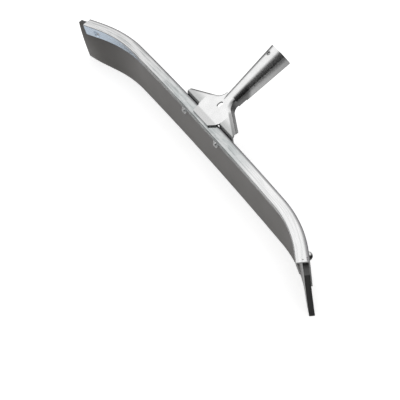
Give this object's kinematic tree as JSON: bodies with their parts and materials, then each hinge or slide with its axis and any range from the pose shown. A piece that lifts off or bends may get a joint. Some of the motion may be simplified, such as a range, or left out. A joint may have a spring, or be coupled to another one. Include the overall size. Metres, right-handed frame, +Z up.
{
  "type": "curved floor squeegee head",
  "caption": "Curved-end floor squeegee head: thick rubber blade clamped in a folded zinc-plated steel channel, with a stamped bracket and tapered socket for a pole handle.",
  "frame": {"origin": "the middle of the blade's bottom face, half way along the blade and half way through its thickness", "axes": "+X along the blade, +Y back toward the handle, +Z up from the floor; the blade stands on its bottom edge"},
  "size_m": [0.6128, 0.1565, 0.1249],
  "materials": {
    "zinc_channel": "bright zinc plate with faint streaks along the length",
    "zinc_bracket": "bright zinc plate, smooth",
    "zinc_fastener": "bright zinc plate",
    "blade_rubber": "matt dark grey moulded rubber"
  },
  "bodies": {
    "root": {"frame_channel": "zinc_channel", "rubber_blade": "blade_rubber", "socket_bracket": "zinc_bracket", "rivet_left": "zinc_fastener", "rivet_right": "zinc_fastener", "screw_left": "zinc_fastener", "screw_right": "zinc_fastener", "lock_washer_left": "zinc_fastener", "lock_washer_right": "zinc_fastener", "nut_left": "zinc_fastener", "nut_right": "zinc_fastener"}
  },
  "joints": []
}
